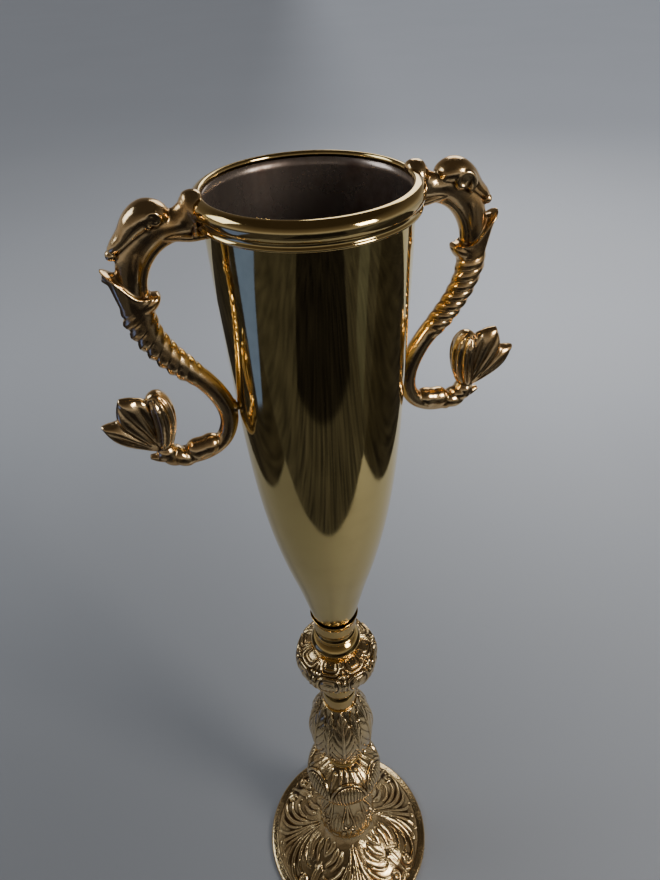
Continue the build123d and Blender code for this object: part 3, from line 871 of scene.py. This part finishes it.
def baluster_relief(angle, radius, walked):
    """A broad leaf at the sector's middle, a slim one at its edge, and a ring of small tips."""
    x, y = angle * LEAF_SCALE, walked
    edge = pi / 6 * LEAF_SCALE
    broad = leaf(x, y, 4, 86, 9.8, 7, 1.0)
    slim = leaf(x - edge, y, 26, 85, 5.0, 6, 0.9)
    low_tip = ridge(x, y, [(edge, 3), (edge, 12), (edge, 24)], 3.0, 1.2, 0.3)
    stem = ridge(x, y, [(3.4, 6), (3.0, 14), (2.0, 24), (1.2, 40)], 0.8, 1.5, 0.4)
    return np.maximum.reduce([broad, slim, low_tip, stem])


stem_casting("leaf_baluster", [(12.0, 0.0), (14.0, 6.0), (18.0, 16.0), (22.0, 28.0),
                               (23.6, 41.5), (22.4, 55.5), (18.9, 67.0), (14.9, 76.0),
                               (13.0, 82.0)],
             baluster_relief, folds=6, rows=190, columns=480, start=np.radians(-12))

# %% [markdown]
# ## The knop
# The knop is what a hand closes round when the vessel is lifted. Eight raised frames, like small
# shields, stand round its upper half, and eight upturned ones round its lower half. Beads and
# leaf tips fill the gaps.

# %% Knop
KNOP_SCALE = 26.0


def knop_relief(angle, radius, walked):
    """Two rows of framed shields, with beads and leaf tips in the gaps between them."""
    x, y = angle * KNOP_SCALE, walked
    edge = pi / 8 * KNOP_SCALE
    waist = 37.4
    strokes = [
        # the upper shield's double frame, then the lower one's, with its middle rib
        ([(8.4, 47), (7.9, 43.5), (6.6, 40.4), (4.4, 39.0), (2, 38.8), (0, 38.8)], 1.05, 1.2),
        ([(5.4, 46.5), (4.7, 43.4), (3.2, 41.9), (0, 41.7)], 0.8, 0.8),
        ([(0, 36), (3.6, 35.8), (6.4, 34.2), (7.6, 30), (7, 24.5), (4.6, 19.5)], 1.1, 1.25),
        ([(0, 33.2), (2.8, 32.6), (4.6, 29.6), (4.2, 25), (2.2, 21)], 0.8, 0.8),
        ([(0, 30.5), (0, 26), (0, 21)], 1.5, 1.1, 0.5),
        # leaf tips in the gaps
        ([(edge, 47), (edge, 44), (edge, 40.6)], 1.5, 1.2, 0.6),
        ([(edge, 31), (edge, 25), (edge, 15)], 2.2, 1.4, 0.4),
        ([(edge - 1.2, 31), (edge - 2.6, 26.5), (edge - 2.2, 20.5)], 1.0, 1.0, 0.6),
        ([(0, 17), (0, 11), (0, 5)], 2.6, 1.1, 0.4)]
    beads = [((edge, waist), 1.8, 1.6), ((edge - 2.8, waist), 1.25, 1.1),
             ((edge, waist - 4.4), 1.5, 1.3), ((edge - 1.6, 43.6), 1.0, 0.9)]
    lower_shield = 0.7 * np.clip(1 - (x / 6.2) ** 2 - ((y - 27) / 8.5) ** 2, 0, 1) ** 0.5
    return np.maximum(lower_shield, highest(x, y, strokes, beads))


stem_casting("knop", [(13.0, 0.0), (15.6, 2.1), (19.5, 6.5), (23.5, 11.9), (26.3, 17.5),
                      (27.6, 23.0), (26.8, 29.0), (23.3, 33.7), (19.0, 36.2), (15.2, 37.5)],
             knop_relief, folds=8, rows=130, columns=512, start=np.radians(-29))

# %% [markdown]
# ## The handles
# Each handle is one casting: a sea serpent whose head bites the rim, with a mane, a leafy cuff
# where the neck leaves it, a twisted body, a loop that rests on the cup and a three-lobed tail.
# It is built as a sculptor would: limbs are made one by one as closed grids round a path, then
# fused. A voxel remesh fuses them, and a light smoothing gives the soft valleys that a casting
# has where limbs meet.

# %% Limbs
def limb(stations, rows, columns=56, skin=None):
    """A closed limb round a path in the XZ plane, as a (rows, columns, 3) grid.

    stations are (distance from the axis, height, half depth, half width). The section is an
    oval: depth along the path's normal in the plane, width along Y. skin(walked, turn), if
    given, returns how far the skin stands out and how far it leans back along the path.
    """
    line = smooth_line(stations, rows)
    along, walked = walk(line[:, :2])
    turn = np.arange(columns) * 2 * pi / columns
    out, lean = np.zeros((2, rows, columns))
    if skin:
        out, lean = skin(walked[:, None], turn[None, :], line)
    depth = (line[:, 2:3] + out) * np.cos(turn)
    width = (line[:, 3:4] + out) * np.sin(turn)
    reach = line[:, :1] - along[:, 1:] * depth - along[:, :1] * lean
    height = line[:, 1:2] + along[:, :1] * depth - along[:, 1:] * lean
    return np.stack([reach, width, height], axis=-1)


def ball(reach, height, depth, width=None, side=0.0):
    """A small rounded lump as a limb with a round outline."""
    width = width or depth
    swing = np.linspace(0.04, 0.96, 15) * pi
    section = [(reach - depth * np.cos(s), height, depth * np.sin(s), width * np.sin(s))
               for s in swing]
    return limb(section, 24, 32) + (0, side, 0)


# %% The serpent's body
BODY = [(47.5, 626.6, 6.0, 5.0), (54.5, 626.0, 5.2, 5.2), (61.5, 625.4, 6.8, 5.8),
        (68.0, 620.8, 6.8, 5.6), (72.8, 613.8, 6.2, 5.2), (75.0, 606.5, 5.5, 4.9),
        (76.0, 598.5, 5.3, 4.9), (75.0, 589.0, 5.3, 4.9), (72.3, 579.5, 5.1, 4.8),
        (67.0, 569.8, 4.9, 4.7), (60.5, 561.3, 4.8, 4.6), (54.3, 554.0, 4.8, 4.6),
        (49.2, 545.5, 4.8, 4.6), (46.0, 536.0, 4.7, 4.5), (46.2, 527.0, 4.3, 4.3),
        (50.2, 518.8, 4.1, 4.2), (57.5, 514.2, 4.2, 4.3), (65.5, 512.9, 4.2, 4.3),
        (73.0, 514.2, 4.7, 4.6), (79.5, 518.8, 4.2, 4.2)]
CUFF, TWIST_END, STEM_START = 44.0, 98.0, 152.0     # distances walked along the body
PITCH = 5.4


def serpent_skin(walked, turn, line):
    """The cuff's lip, the twisted bands and the tail's bound stem.

    turn is 0 on the back and pi on the belly. The lip stands out just past a line that slants
    round the neck, and leans back towards the head; |cos| of 1.5 turns cuts it into petals.
    The bands are |sin| of a phase that grows along the body and three times round it, so they
    wind as a three-strand rope does.
    """
    back = np.cos(turn)
    past_cuff = walked - (CUFF - 5.5 * back)
    petals = 0.72 + 0.28 * np.abs(np.cos(1.5 * turn))
    stand = petals * (1.6 + 5.6 * np.clip(back, 0, 1) ** 2 + 3.9 * np.clip(-back, 0, 1) ** 2)
    lip = stand * np.exp(-np.clip(past_cuff, 0, None) / 5.0) * step_up(past_cuff, -1.4, 0.6)
    phase = walked / PITCH + 3 * turn / (2 * pi)
    band = np.abs(np.sin(pi * phase)) ** 0.7 + 0.16 * np.abs(np.sin(3 * pi * phase))
    there = step_up(walked, CUFF + 5, CUFF + 12) * step_up(TWIST_END - walked, 0, 14)
    quiet = np.clip(1.3 * np.sin(turn), 0, 1) * step_up(-back, -0.5, 0.2)
    twist = 1.05 * band * there * (1 - 0.85 * quiet)
    crest = 0.8 * np.exp(-(np.minimum(turn, 2 * pi - turn) / 0.42) ** 2) * band * there
    stem = step_up(walked, STEM_START, STEM_START + 3) * step_up(walked[-1] - walked, 0.5, 3)
    bound = 0.9 * np.abs(np.sin(pi * (walked / 7.5 + turn / pi))) ** 0.8 * stem
    return lip + twist + crest + bound, 0.62 * lip


def fluted(count, depth):
    """A skin with rounded flutes along the limb, fading at its root."""
    def skin(walked, turn, line):
        rise = depth * np.abs(np.cos(0.5 * count * turn)) * step_up(walked, 1, 8)
        return rise - depth * 0.4, 0 * rise
    return skin


def spiral(middle, radius, turns, start, side, thick):
    """A tapering round wire along a spiral in the plane y = side."""
    sweep = np.linspace(0, 1, 60)
    reach = radius * (1 - 0.78 * sweep)
    turn = start + 2 * pi * turns * sweep
    path = np.column_stack([middle[0] + reach * np.cos(turn), middle[1] + reach * np.sin(turn),
                            thick * (1 - 0.4 * sweep), thick * (1 - 0.4 * sweep)])
    return limb(path, 90, 16) + (0, side, 0)


def shell(root, degrees, reaches, thick, ribs, rows=70, columns=200):
    """A ribbed fan as a closed grid: rows go from its root to its tips, columns round its edge.

    degrees and reaches give the outline about the root, so peaks in reaches are pointed lobes.
    The ribs start steeper than they end, which bends them outwards like blown petals.
    """
    out = np.linspace(0.06, 1, rows)[:, None]
    turn = np.arange(columns) * 2 * pi / columns
    across, face = np.cos(turn), np.sin(turn)
    middle, half = (degrees[0] + degrees[-1]) / 2, (degrees[-1] - degrees[0]) / 2
    aim = middle - half * across
    reach = np.interp(aim, degrees, reaches) * out
    angle = np.radians(aim + 12 * (1 - out) ** 2)
    swell = np.sqrt(out) * (1 - 0.55 * out) * np.sqrt(1 - out ** 12)
    rib = 0.26 * np.abs(np.cos(pi * ribs / 2 * across)) * step_up(out, 0.1, 0.35)
    width = thick * swell * (0.80 + rib) * np.sign(face) * np.abs(face) ** 0.6
    return np.stack([root[0] + reach * np.cos(angle), width, root[1] + reach * np.sin(angle)],
                    axis=-1)


# %% Head, mane, fins and tail
HEAD_LIMBS = [
    # forehead and mane, lying over the neck
    limb([(56.2, 628.2, 2.4, 4.4), (59.2, 630.4, 4.6, 6.6), (63.8, 631.0, 5.6, 7.4),
          (68.6, 628.4, 5.2, 7.0), (73.4, 623.8, 3.7, 5.4), (77.6, 620.4, 2.7, 3.9),
          (80.2, 618.8, 1.4, 2.0)], 70),
    # the flared lip that laps over the rim
    limb([(44.8, 628.0, 6.4, 5.6), (45.4, 628.3, 8.9, 7.0), (46.4, 628.5, 9.2, 7.2),
          (47.6, 628.2, 7.7, 6.2), (49.4, 627.6, 6.2, 5.4), (52.6, 626.8, 5.2, 4.9),
          (57.5, 626.4, 4.6, 4.6)], 44),
    # jaw, under the rim
    limb([(43.2, 620.4, 2.4, 3.6), (48.5, 620.3, 2.3, 4.3), (54.5, 621.6, 2.5, 4.7),
          (60.0, 622.2, 2.6, 4.6)], 40),
    # throat band along the inside of the arch
    limb([(50.0, 621.0, 1.6, 2.8), (57.0, 620.2, 1.9, 3.4), (62.6, 617.2, 2.0, 3.5),
          (67.2, 612.0, 2.0, 3.4), (70.0, 605.6, 1.9, 3.2), (71.0, 598.6, 1.7, 2.8)], 60),
    # a flute down each side of the neck
    *[limb([(68.6, 621.0, 1.6, 1.0), (70.6, 616.4, 1.9, 1.5), (72.0, 611.6, 1.7, 1.3),
            (72.6, 607.6, 1.0, 0.6), (72.8, 605.4, 0.4, 0.2)], 40, 20)
      + (0, side, 0) for side in (-4.2, 4.2)],
    # the cuff's back and front tips are solid
    limb([(73.0, 604.6, 4.2, 3.8), (78.4, 606.0, 3.8, 3.4), (82.6, 607.8, 2.8, 2.8),
          (85.6, 608.9, 1.5, 1.9)], 30, 30),
    limb([(73.0, 594.6, 4.6, 5.4), (69.6, 595.6, 4.0, 5.2), (66.8, 597.2, 2.6, 4.4),
          (65.2, 598.4, 1.0, 2.8)], 30, 32),
    ball(80.0, 617.2, 2.3, 2.9),
]
VOLUTES = []
for middle, size, way in [((65.4, 627.8), 4.9, -1), ((61.2, 630.2), 3.6, 1)]:
    VOLUTES += [spiral(middle, size, 1.15, -0.30 * pi, way * 6.3, 0.32 * size),
                ball(*middle, 0.9 * size, 3.0, way * 4.0)]
TAIL = [
    # the sheath, with a lip at each end
    limb([(53.8, 515.6, 3.8, 3.9), (56.0, 516.8, 5.9, 5.3), (60.0, 516.4, 5.5, 5.1),
          (64.2, 515.6, 5.9, 5.3), (66.8, 514.2, 3.9, 4.0)], 44),
    # the calyx and its thorn
    ball(77.6, 518.4, 5.0, 5.2),
    limb([(78.0, 515.0, 2.8, 3.2), (82.0, 515.8, 2.3, 2.8), (86.0, 517.0, 1.1, 1.5)], 24, 28),
    # two webbed lobes, and the curled one with its rolled edge
    shell((79.5, 518.5), [26, 33, 41, 48, 54, 60, 68, 76, 84, 92],
          [15, 25, 32.2, 29.4, 28.0, 31.6, 36.2, 34.4, 32.0, 26.0], 9.0, 5),
    limb([(79.4, 519.2, 2.6, 3.6), (76.6, 528.6, 4.2, 6.2), (75.4, 538.0, 4.9, 7.4),
          (75.9, 545.6, 4.6, 6.8), (77.0, 550.0, 3.0, 4.6), (77.8, 551.4, 1.4, 2.2)],
         70, 80, fluted(10, 1.4)),
    limb([(71.4, 540.0, 1.2, 1.8), (72.4, 546.6, 1.6, 3.0), (76.0, 551.0, 1.7, 3.6),
          (79.8, 549.8, 1.6, 3.0), (81.6, 545.4, 1.0, 1.8)], 44, 28),
]
BOSS = [limb([(41.2, 536.0, 3.6, 3.6), (43.4, 536.0, 3.8, 3.8), (46.0, 536.0, 3.2, 3.2)], 12, 40)]
serpent = limb(BODY, 520, 96, serpent_skin)
LIMBS = [serpent, *HEAD_LIMBS, *VOLUTES, *TAIL, *BOSS]
print("Limbs of a handle:", len(LIMBS))

# %% [markdown]
# The limbs are joined into one object and fused on a fine voxel grid. The other handle is the
# same casting turned half round, as the founder would use one pattern twice.

# %% Fuse the limbs
VOXEL = 0.00042


def fused(name, grids):
    """One closed mesh round all the limbs: a voxel remesh, then a light smoothing."""
    parts = [grid_piece("limb", grid, closed_rows=False, capped=True) for grid in grids]
    with bpy.context.temp_override(active_object=parts[0], selected_editable_objects=parts):
        bpy.ops.object.join()
    rough_piece = parts[0]
    melt = rough_piece.modifiers.new("melt", "REMESH")
    melt.mode = "VOXEL"
    melt.voxel_size = VOXEL
    soften = rough_piece.modifiers.new("soften", "SMOOTH")
    soften.factor = 0.5
    soften.iterations = 3
    ready = rough_piece.evaluated_get(bpy.context.evaluated_depsgraph_get())
    mesh = bpy.data.meshes.new_from_object(ready)
    mesh.name = name
    bpy.data.objects.remove(rough_piece)
    mesh.polygons.foreach_set("use_smooth", np.ones(len(mesh.polygons), bool))
    return put(name, mesh)


right_handle = fused("right_handle_cast", LIMBS)
mark_hollows(right_handle, 16, 0.40)
left_mesh = right_handle.data.copy()
left_mesh.name = "left_handle_cast"
left_mesh.transform(Matrix.Rotation(pi, 4, "Z"))
left_handle = put("left_handle_cast", left_mesh)
settle(right_handle, "right_handle", "handle_brass", handle_brass)
settle(left_handle, "left_handle", "handle_brass", handle_brass)

# %% [markdown]
# ## Fasteners
# The rod, nuts, washers and screws hold their CAD shapes: they are plain pieces inside the foot
# and the cup. They only need a finish. The rod's thread is a bump pattern that climbs it.

# %% Plated steel and screws
def plated(name, colour, roughness, thread=False):
    """Plated metal with cloudy wear, and if asked a thread: waves along Z under the bump."""
    material = bpy.data.materials.new(name)
    tree = node_tree_of(material)
    place = add(tree, "ShaderNodeTexCoord")
    clouds = add(tree, "ShaderNodeTexNoise", {"Vector": (place, "Object"), "Scale": 220.0,
                                              "Detail": 4.0})
    tone = two_tone(tree, (clouds, "Fac"), [0.55 * c for c in colour], colour)
    rise, strength, distance = clouds, 0.2, 0.0001
    if thread:
        rise = add(tree, "ShaderNodeTexWave", {"Vector": (place, "Object"), "Scale": 250.0},
                   bands_direction="Z")
        strength, distance = 0.8, 0.0004
    return metal(material, (tone, "Color"), roughness, (rise, "Fac"), strength, distance)


steel = plated("plated steel", (0.56, 0.55, 0.52), 0.38)
steel_thread = plated("plated steel, threaded", (0.56, 0.55, 0.52), 0.38, thread=True)
screw_brass = plated("dull brass", (0.45, 0.31, 0.12), 0.4)
FASTENERS = {"tie_rod": steel_thread, "foot_nut": steel, "foot_washer": steel,
             "foot_lock_washer": steel, "cup_nut": steel, "cup_washer": steel,
             "handle_screws": screw_brass, "handle_washers": screw_brass}
for node, material in FASTENERS.items():
    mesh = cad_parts[node].data
    mesh.materials.clear()
    mesh.materials.append(material)
print("Fasteners finished:", len(FASTENERS))
